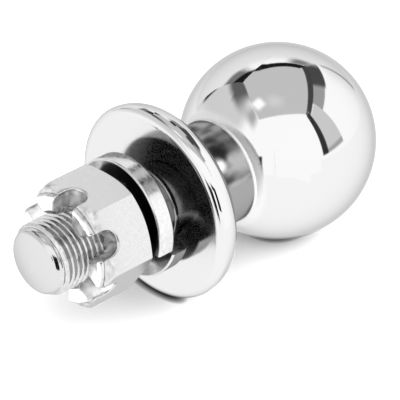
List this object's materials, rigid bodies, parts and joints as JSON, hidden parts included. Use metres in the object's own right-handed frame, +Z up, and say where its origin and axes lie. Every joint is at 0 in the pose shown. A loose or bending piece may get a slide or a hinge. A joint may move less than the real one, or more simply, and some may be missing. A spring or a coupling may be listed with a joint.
{
  "type": "trailer hitch ball with nut and lock washer",
  "caption": "Chrome tow ball on a flanged threaded shank, with a helical split lock washer and a slotted hex nut that screws along the shank.",
  "frame": {"origin": "centre of the flange's seat face on the shank axis", "axes": "+X along the shank axis towards the ball, +Z up with the part lying on its side, +Y away from the viewer's side"},
  "size_m": [0.1085, 0.0514, 0.0514],
  "materials": {
    "ball_stud": "polished chrome plate",
    "lock_washer": "bright plated spring steel",
    "castle_nut": "bright plated steel, slightly satin flats"
  },
  "bodies": {
    "ball_stud": {"ball_stud": "ball_stud"},
    "lock_washer": {"lock_washer": "lock_washer"},
    "castle_nut": {"castle_nut": "castle_nut"}
  },
  "joints": [
    {"name": "washer_slide", "type": "slide", "parent": "ball_stud", "child": "lock_washer", "axis": [1, 0, 0], "range_m": [-0.029, 0.002]},
    {"name": "nut_spin", "type": "hinge", "parent": "lock_washer", "child": "castle_nut", "pos_m": [0, 0, 0], "axis": [1, 0, 0], "range_deg": [-6480, 405]}
  ],
  "couplings": [
    {"joint": "washer_slide", "follows": "nut_spin", "m_per_rad": 0.00025266}
  ]
}
